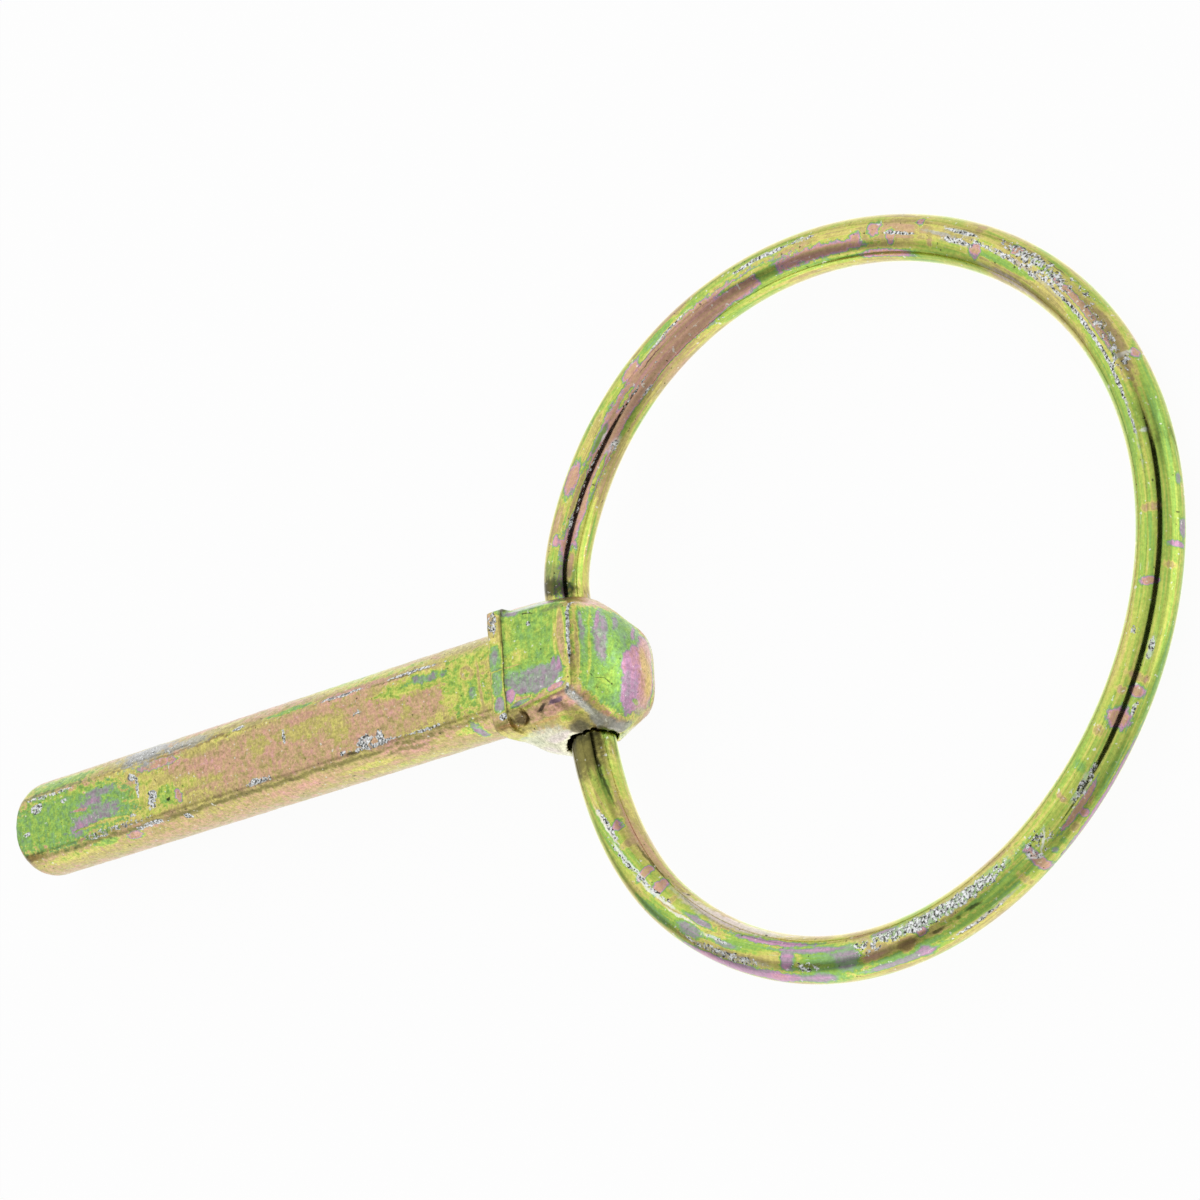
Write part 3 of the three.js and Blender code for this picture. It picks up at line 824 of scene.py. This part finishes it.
# Places on the ring: turn round the ring's centre, then turn round the wire, both in degrees.
ringFinish = {
    "raggedPoint": {"Coarse": 0.3, "Fine": 0.2},
    "mottle": {"stretch": (0.8, 0.08, 1.0), "scale": 1.0, "detail": 6.0, "rough": 0.72},
    "fray": 1.8,
    "broad": {"stretch": (0.07, 0.008, 1.0), "scale": 1.0, "detail": 3.0},
    "filmEase": (0.3, 0.7, 0.68, 1.0),
    "streaks": {"stretch": (0.06, 0.11, 1.0), "scale": 1.0, "detail": 5.0, "rough": 0.62},
    "streaksSwing": 0.55,
    "speckle": {"scale": 8.0, "detail": 4.0, "rough": 0.65},
    "speckleSwing": 0.12,
    "weathered": {"Grain": 4.5, "Contrast": 0.16, "Pits": 0.27, "Flecks": 0.3},
    "scratches": [  # stretch, how few, share, colour: along the wire, then across it
        ((0.22, 0.3, 1.0), 0.69, 0.5, (0.84, 0.84, 0.76, 1)),
        ((0.9, 0.035, 1.0), 0.71, 0.45, (0.80, 0.78, 0.74, 1)),
    ],
    "bare": {"Grit": 3.0, "Soot": 0.035},
    "bareDullness": 0.3,
    "bareHeight": 1.2,
    "gloss": {"scale": 2.0, "detail": 3.0},
    "glossEase": (0.3, 0.7, 0.09, 0.15),
    "bump": {"Strength": 0.08, "Distance": 0.03 * mm},
    "film": [
        (-30, 60, 38, 90, 0.74, 0.3), (8, 60, 22, 90, 0.72, 0.3),
        (-150, 130, 16, 60, 0.80, 0.3), (-145, 110, 9, 24, 0.71, 0.4), (-128, 110, 9, 50, 0.74, 0.4),
        (-155, 152, 5, 10, 0.72, 0.4), (-150, 120, 5, 5, 0.92, 0.5), (-126, 96, 5, 5, 0.88, 0.5),
        (-147, 145, 1.0, 18, 0.06, 0.4), (-143, 138, 0.7, 24, 0.92, 0.4), (-136.5, 124, 0.8, 26, 0.04, 0.4),
        (-132.5, 130, 1.0, 30, 0.06, 0.4), (-129, 112, 0.6, 16, 0.90, 0.4), (-139, 160, 14, 14, 0.98, 0.5),
        (-123, 74, 3.0, 14, 0.44, 0.4), (-122, 104, 3.5, 9, 0.43, 0.4), (-131, 60, 5, 16, 0.60, 0.5),
        (-112, 94, 4.0, 24, 0.67, 0.35), (-116, 78, 3, 8, 0.46, 0.4),
        (-110, 30, 15, 15, 0.30, 0.3), (-119, 30, 2.2, 14, 0.25, 0.4), (-105.5, 26, 1.6, 20, 0.24, 0.4),
        (-103.3, 72, 1.3, 28, 0.30, 0.4), (-96.5, 52, 4.5, 44, 0.62, 0.4), (-98, 26, 2.5, 14, 0.36, 0.5),
        (-98, 92, 8, 8, 0.36, 0.5), (-92, 66, 2.5, 30, 0.45, 0.5), (-107, 110, 9, 8, 0.28, 0.4),
        (-84, 28, 7, 10, 0.43, 0.4), (-76, 6, 14, 9, 0.87, 0.4), (-85, 6, 2, 12, 0.92, 0.4),
        (-68, 38, 9, 10, 0.64, 0.4), (-82, 44, 8, 8, 0.60, 0.4), (-79.5, 26, 1.2, 16, 0.33, 0.4),
        (-81.5, 62, 1.4, 20, 0.95, 0.4), (-78.5, 74, 1.0, 12, 0.05, 0.4), (-66, 62, 8, 12, 0.66, 0.5),
        (-85, 106, 3, 7, 0.32, 0.4), (-74, 94, 14, 16, 0.58, 0.5),
        (-57, 34, 0.9, 50, 0.05, 0.4), (-54.3, 22, 0.5, 12, 0.47, 0.4), (-60.5, 24, 0.6, 30, 0.90, 0.4),
        (-50, 20, 0.7, 16, 0.92, 0.4), (-47.5, 22, 0.6, 18, 0.05, 0.4), (-45.5, 24, 0.7, 12, 0.93, 0.4),
        (-52.5, 20, 0.5, 14, 0.64, 0.4), (-47, 46, 4.5, 9, 0.05, 0.35), (-47.5, 96, 0.5, 18, 0.96, 0.4),
        (-33.0, 66, 1.6, 30, 0.05, 0.4), (-28.5, 46, 0.9, 22, 0.06, 0.4), (-29.0, 86, 0.6, 14, 0.94, 0.4),
        (-26.5, 54, 0.6, 30, 0.96, 0.5), (-36, 100, 0.8, 16, 0.93, 0.5), (-42, 100, 0.8, 16, 0.60, 0.5),
        (-41, 14, 5, 12, 0.62, 0.5), (-25, -4, 8, 14, 0.64, 0.5), (-45, -16, 11, 12, 0.30, 0.4),
        (-10, 30, 0.5, 18, 0.92, 0.4), (-7, 14, 0.5, 24, 0.30, 0.4), (-12.5, 76, 0.6, 22, 0.06, 0.4),
        (-4.5, -4, 1.6, 12, 0.38, 0.4), (2.5, 4, 0.8, 10, 0.45, 0.4), (-1.5, 78, 0.7, 26, 0.95, 0.4),
        (-20, 116, 12, 12, 0.80, 0.5), (14, 98, 9, 16, 0.68, 0.4), (12, 24, 12, 10, 0.66, 0.5),
        (22.5, 22, 0.8, 16, 0.05, 0.4), (26, 52, 8, 22, 0.95, 0.4), (33, 62, 9, 8, 0.03, 0.4),
        (36, 76, 8, 6, 0.88, 0.5), (38, 40, 4, 12, 0.79, 0.5), (44, 62, 2.5, 8, 0.64, 0.4),
        (49.3, 56, 1.0, 18, 0.04, 0.4), (52, 40, 5, 10, 0.77, 0.5), (57.5, 46, 0.8, 20, 0.95, 0.4),
        (51, 104, 6, 10, 0.64, 0.35), (46, 98, 3, 8, 0.70, 0.4), (56.3, 106, 1.1, 20, 0.05, 0.35),
        (60, 90, 3, 14, 0.92, 0.5), (62, 120, 5, 12, 0.72, 0.5), (68.5, 84, 0.8, 26, 0.05, 0.4),
        (72, 96, 5, 24, 0.99, 0.4), (73.5, 112, 1.0, 16, 0.06, 0.4), (77, 82, 1.3, 30, 0.05, 0.4),
        (80.5, 112, 1.0, 14, 0.06, 0.5), (79, 62, 5, 18, 0.80, 0.5), (65.5, 112, 0.5, 14, 0.96, 0.4),
        (84.5, 90, 3.0, 18, 0.86, 0.5), (88, 124, 9, 14, 0.04, 0.4), (86, 150, 7, 10, 0.74, 0.5),
        (74, 150, 6, 10, 0.02, 0.5), (62, 150, 8, 12, 0.72, 0.5), (100, 76, 11, 18, 0.72, 0.4),
        (112, 80, 4, 20, 0.70, 0.5), (109, 96, 2, 10, 0.88, 0.4), (122, 74, 5, 12, 0.62, 0.5),
        (128, 124, 38, 34, 0.06, 0.2), (118, 108, 12, 12, 0.05, 0.4), (99, 128, 2.2, 24, 0.69, 0.3),
        (96, 152, 8, 10, 0.73, 0.4), (108, 156, 4, 10, 0.77, 0.5), (103, 108, 6, 6, 0.83, 0.5),
        (129, 80, 2.2, 16, 0.04, 0.4), (133.3, 78, 1.0, 10, 0.72, 0.3), (126, 84, 1.3, 8, 0.74, 0.4),
        (140, 76, 3, 14, 0.90, 0.5), (149, 76, 3, 18, 0.05, 0.4), (156, 76, 2.2, 16, 0.96, 0.4),
        (159.5, 84, 1.0, 10, 0.18, 0.4), (163.5, 82, 2.5, 22, 0.72, 0.3), (144, 88, 2.0, 10, 0.84, 0.4),
        (141, 104, 3.0, 8, 0.60, 0.4), (151, 104, 6.0, 8, 0.90, 0.4), (133, 110, 2.5, 5, 0.78, 0.4),
        (147, 140, 4.5, 7, 0.78, 0.4), (136, 158, 5, 12, 0.74, 0.4), (156, 156, 6, 16, 0.76, 0.4),
        (124, 160, 8, 8, 0.95, 0.5), (160, 120, 1.5, 20, 0.04, 0.4), (163, 134, 3, 12, 0.95, 0.4),
    ],
    "stainAndShade": [
        # The first five spots darken the wire where it goes into the pin's head: the near-black ones at the
        # hole's two mouths and the mud-coloured one beside the second are painted shade, and two dark olive
        # bands lie just outside the first
        ("olive", -163, 128, 5, 40, 1.0, 0.4), ("olive", -162, 60, 5, 30, 0.7, 0.5),
        ("sootAndShade", -166.5, 110, 2.4, 60, 0.8, 0.5),
        ("sootAndShade", 167, 100, 1.6, 60, 0.85, 0.4), ("mudAndShade", 164.5, 90, 1.4, 60, 0.5, 0.6),
        ("olive", -138, 148, 4, 3, 0.9, 0.4), ("sootAndShade", -155.5, 151, 5, 2.0, 0.7, 0.5),
        ("blush", -117, 140, 12, 18, 0.8, 0.4), ("soil", -99, 56, 2.5, 1.6, 0.6, 0.4),
        ("soil", -99, 60, 2.0, 1.4, 0.6, 0.4), ("soil", -81.5, 60, 1.6, 16, 0.55, 0.4),
        ("sootAndShade", -76, 57, 1.3, 4, 0.75, 0.5), ("sootAndShade", -69, 62, 1.5, 4, 0.75, 0.5),
        ("sootAndShade", -72, 60, 0.4, 4, 0.6, 0.5), ("steel", -75, 98, 14, 16, 0.4, 0.5),
        ("steel", -68, 26, 6, 5, 0.6, 0.5), ("chalk", -57, 52, 0.35, 14, 0.7, 0.4, 4),
        ("chalk", -54.5, 64, 0.35, 20, 0.6, 0.4, -5), ("sky", -22, 44, 1.6, 8, 0.6, 0.5),
        ("sky", -44, 68, 2.6, 11, 0.4, 0.5), ("chalk", 22.8, 48, 0.4, 20, 0.6, 0.4),
        ("chalk", 10.3, 62, 0.35, 8, 0.6, 0.4), ("brown", 28, 52, 8, 16, 0.45, 0.5),
        ("mudAndShade", 42, 40, 2.6, 1.8, 0.8, 0.4), ("steel", 26, 81, 18, 4.5, 0.7, 0.4),
        ("steel", 48, 88, 9, 5, 0.5, 0.5), ("sky", 60, 76, 3, 6, 0.6, 0.4),
        ("steel", 60, 102, 3, 7, 0.7, 0.4), ("steel", 64, 92, 3, 4, 0.7, 0.4),
        ("steel", 72, 104, 2.5, 4, 0.75, 0.4), ("steel", 99, 82, 5.5, 7, 0.6, 0.4),
        ("steel", 91, 82, 2, 4, 0.6, 0.4), ("chalk", 120, 87, 5, 2.6, 0.6, 0.4),
        ("blush", 48, 136, 6, 10, 0.6, 0.5), ("olive", 140, 104, 4, 5, 0.5, 0.5),
        ("sootAndShade", 125, 103, 3, 1.5, 0.7, 0.5), ("blush", 141, 148, 1.4, 14, 0.7, 0.4, 3),
        ("blush", 130, 148, 1.2, 4, 0.7, 0.4), ("blush", 140.5, 112, 0.9, 4, 0.7, 0.4),
        ("chalk", -148, 118, 4, 4, 0.7, 0.4), ("chalk", -140, 110, 5, 4, 0.7, 0.4),
        ("chalk", -132, 100, 5, 4, 0.7, 0.4), ("chalk", -125.5, 92, 3, 3, 0.6, 0.4),
        ("chalk", -118, 82, 2.5, 4, 0.5, 0.5), ("steel", -114, 54, 7, 7, 0.5, 0.5),
    ],
    "wear": [  # turn of ring, turn of wire, half sizes, amount
        (-148, 122, 4, 5, 0.56), (-137, 106, 9, 5, 0.54), (-116, 54, 9, 12, 0.5), (-100, 54, 3, 14, 0.48),
        (-75, 94, 16, 20, 0.54), (-70, 24, 6, 6, 0.54), (-55, 68, 3, 30, 0.47), (-44, 68, 3.5, 14, 0.5),
        (-22, 44, 2, 8, 0.54), (22, 54, 0.8, 28, 0.56), (28, 81, 20, 5, 0.6), (44, 60, 9, 22, 0.52),
        (50, 88, 9, 8, 0.52), (60, 100, 3.5, 8, 0.6), (60, 76, 3.5, 6, 0.58), (72, 104, 3.5, 4, 0.6),
        (99, 82, 6, 7, 0.6), (120, 87, 5, 3, 0.58), (-118, 82, 3, 6, 0.5), (-88, 80, 3, 20, 0.5),
        (130, 122, 6, 3, 0.5), (150, 116, 10, 3, 0.5), (130, 148, 1.5, 4, 0.58), (141, 152, 1.2, 12, 0.54),
        (112, 162, 1.2, 6, 0.54), (26, 56, 9, 14, 0.47), (155.5, 112, 1.5, 4, 0.58),
        (91, 82, 3, 8, 0.5), (36, 36, 5, 10, 0.48), (-31, 36, 1.2, 8, 0.55), (-20, 92, 0.8, 12, 0.5),
    ],
}


def ringChart(tree, point):
    split = parted(tree, point)
    ringTurn = calc(tree, "DEGREES", calc(tree, "ARCTAN2", split["Y"], split["X"]))
    reach = vector(tree, "LENGTH", joined(tree, split["X"], split["Y"]))
    outward = calc(tree, "SUBTRACT", reach, ringShape["radius"])
    wireTurn = calc(tree, "DEGREES", calc(tree, "ARCTAN2", split["Z"], outward))
    return joined(tree, ringTurn, wireTurn)


def makeRingPlating():
    material, tree, point = newPlating("ringPlating", [radians(turn) for turn in ringShape["lie"]])
    point = vector(tree, "SUBTRACT", point, ringShape["centre"])
    rough = placed(tree, raggedGroup, {"Point": point, **ringFinish["raggedPoint"]})["Point"]
    straight = ringChart(tree, point)
    around = ringChart(tree, rough)

    fray = frayed(tree, noise(tree, straight, **ringFinish["mottle"]), ringFinish["fray"])
    film = eased(tree, noise(tree, straight, **ringFinish["broad"]), *ringFinish["filmEase"])
    film = painted(tree, film, around, fray, ringFinish["film"])
    streaks = noise(tree, straight, **ringFinish["streaks"])
    film = calc(tree, "ADD", film, wobble(tree, streaks, ringFinish["streaksSwing"]))
    speckle = noise(tree, point, **ringFinish["speckle"])
    film = calc(tree, "ADD", film, wobble(tree, speckle, ringFinish["speckleSwing"]))

    colour = placed(tree, filmColourGroup, {"Film": film})["Color"]
    colour = stainedAndShaded(tree, colour, around, fray, ringFinish["stainAndShade"])
    worn = placed(tree, weatheredGroup, {"Color": colour, "Point": point, **ringFinish["weathered"]})
    colour = worn["Color"]
    for chart, (stretch, few, share, tint) in zip((straight, around), ringFinish["scratches"]):
        chart = vector(tree, "MULTIPLY", chart, stretch)
        mask = placed(tree, scratchesGroup, {"Chart": chart, "Few": few})["Mask"]
        colour = blendColour(tree, calc(tree, "MULTIPLY", mask, share), colour, tint)
    wear = painted(tree, 0.0, around, fray, ringFinish["wear"])
    bare = placed(tree, bareMetalGroup, {"Point": point, "Wear": wear, **ringFinish["bare"]})
    finishPlating(tree, point, colour, worn["Height"], bare, ringFinish)
    return material


ringWire.data.materials.append(makeRingPlating())
print("ring plated")

# Floor, camera and light

studio = {
    "floorSize": 3.0,
    "floorPaint": {"Base Color": (0.9, 0.9, 0.9, 1), "Roughness": 0.9},
    "floorGlow": 0.95,
    "white": (1, 1, 1, 1),
    "roomTurn": -5.0,
    "floorLevel": 1.0,
    "wallLevel": 0.84,
    "horizon": (-0.06, 0.06),
    "nearest": 0.02,
    # Flat things in the room: chart, centre, half sizes, turn, edge, change of level. "ceiling" is seen
    # as (y/z, x/z), "front" as (y/x, z/x), "side" as (x/y, z/y), and "floor" as the ceiling with z down.
    "panels": [
        ("front", (0.25, -0.40), (0.66, 0.36), 25, 0.07, 0.45),
        ("front", (-1.6, 0.3), (0.5, 0.7), 0, 0.5, -0.25),
        ("ceiling", (-0.10, 0.74), (0.84, 0.31), -6, 0.05, -0.97),
        ("ceiling", (0.53, 0.15), (0.724, 0.024), 72, 0.5, -0.6),
        ("ceiling", (-0.30, -0.38), (0.5, 0.03), 3, 0.6, -0.5),
        ("front", (0.727, -0.12), (0.020, 0.70), 0, 0.5, -0.65),
        ("front", (0.81, 0.87), (0.33, 0.022), 76, 0.5, -0.6),
        ("floor", (0.725, 0.685), (0.767, 0.024), 63, 0.5, -0.55),
        ("side", (-0.125, 0.21), (0.205, 0.025), 128, 0.6, -0.55),
        ("side", (-0.37, 0.39), (0.12, 0.025), 175, 0.6, -0.5),
        ("side", (-0.84, 0.2), (0.404, 0.03), 30, 0.6, -0.4),
    ],
    "softSpots": [  # turn round the room, height, radius in degrees, change of level
        (140, 48, 50, 0.34),
        (-128, 47, 30, -0.42),
        (-162, 4, 24, -0.42),
        (-118, 6, 30, 0.38),
        (-76, 24, 26, -0.24),
        (-50, -16, 24, -0.48),
        (-48, 12, 16, -0.12),
        (38, 20, 13, -0.30),
        (60, 50, 20, -0.32),
        (84, -12, 16, -0.20),
        (0, 72, 20, -0.06),
        (-15, 24, 24, 0.28),
        (-110, -35, 45, 0.28),
        (150, -45, 45, 0.35),
        (-45, -48, 25, -0.20),
        (20, -40, 40, 0.12),
    ],
}

bpy.ops.object.select_all(action="DESELECT")
bpy.ops.mesh.primitive_plane_add(size=studio["floorSize"])
floor = bpy.context.object
floor.name = "floor"
floor.visible_glossy = False  # the room below the horizon stands in for it in reflections
floorPaint = bpy.data.materials.new("floorPaint")
floorPaint.use_nodes = True
tree = floorPaint.node_tree
paint = tree.nodes["Principled BSDF"]
for key, value in studio["floorPaint"].items():
    paint.inputs[key].default_value = value
glow = wire(tree, "Emission", {"Color": studio["white"], "Strength": 1.0})
share = calc(tree, "MULTIPLY", given(tree, "LightPath", "Is Camera Ray"), studio["floorGlow"])
both = wire(tree, "MixShader", {0: share, 1: paint.outputs[0], 2: glow.outputs[0]})
tree.links.new(both.outputs[0], tree.nodes["Material Output"].inputs["Surface"])
floor.data.materials.append(floorPaint)

camera = {
    "place": (0.187973, -0.077421, 0.212166),
    "turn": (13.0817, 42.1624, -4.9303),
    "lens": 143.54,
    "sensor": 36,
    "nearest": 0.01,
}
bpy.ops.object.camera_add(
    location=camera["place"], rotation=[radians(turn) for turn in camera["turn"]],
)
eye = bpy.context.object
eye.data.lens = camera["lens"]
eye.data.sensor_width = camera["sensor"]
eye.data.clip_start = camera["nearest"]
bpy.context.scene.camera = eye
bpy.context.scene.view_settings.view_transform = "Standard"

world = bpy.data.worlds.new("studioWorld")
bpy.context.scene.world = world
world.use_nodes = True
tree = world.node_tree
facing = wire(tree, "VectorRotate", {
    "Vector": given(tree, "TexCoord", "Generated"), "Axis": (0, 0, 1),
    "Angle": radians(-studio["roomTurn"]),
}, rotation_type="AXIS_ANGLE").outputs[0]
x, y, z = parted(tree, facing)


def roomChart(forward, first, second):
    ahead = calc(tree, "GREATER_THAN", forward, studio["nearest"])
    depth = calc(tree, "MAXIMUM", forward, studio["nearest"])
    return joined(tree, calc(tree, "DIVIDE", first, depth), calc(tree, "DIVIDE", second, depth)), ahead


roomCharts = {
    "ceiling": roomChart(z, y, x),
    "floor": roomChart(calc(tree, "MULTIPLY", z, -1.0), y, x),
    "front": roomChart(x, y, z),
    "side": roomChart(y, x, z),
}
level = eased(tree, z, *studio["horizon"], studio["floorLevel"], studio["wallLevel"])
for turn, height, radius, change in studio["softSpots"]:
    turn, height = radians(turn), radians(height)
    centre = (cos(turn) * cos(height), sin(turn) * cos(height), sin(height))
    aim = vector(tree, "DOT_PRODUCT", facing, centre)
    level = calc(tree, "ADD", level, eased(tree, aim, cos(radians(radius)), 1.0, 0.0, change))
for chart, centre, size, turn, edge, change in studio["panels"]:
    seenAt, ahead = roomCharts[chart]
    local = seenFrom(tree, seenAt, (*centre, 0), (0, 0, radians(turn)), (*size, 1))
    local = parted(tree, vector(tree, "ABSOLUTE", local))
    firstEdge = edge * min(1.0, size[1] / size[0])
    secondEdge = edge * min(1.0, size[0] / size[1])
    covered = calc(
        tree, "MULTIPLY", eased(tree, local["X"], 1 - firstEdge, 1 + firstEdge),
        eased(tree, local["Y"], 1 - secondEdge, 1 + secondEdge),
    )
    covered = calc(tree, "MULTIPLY", covered, ahead)
    factor = calc(tree, "ADD", calc(tree, "MULTIPLY", covered, change), 1.0)
    level = calc(tree, "MULTIPLY", level, factor)
level = blendValue(tree, given(tree, "LightPath", "Is Camera Ray"), level, 1.0)
background = tree.nodes["Background"]
tree.links.new(level, background.inputs["Strength"])
background.inputs["Color"].default_value = studio["white"]
print("studio lit")

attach(pinForged, "pin")
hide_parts("pin")
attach(ringWire, "ring")
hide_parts("ring")
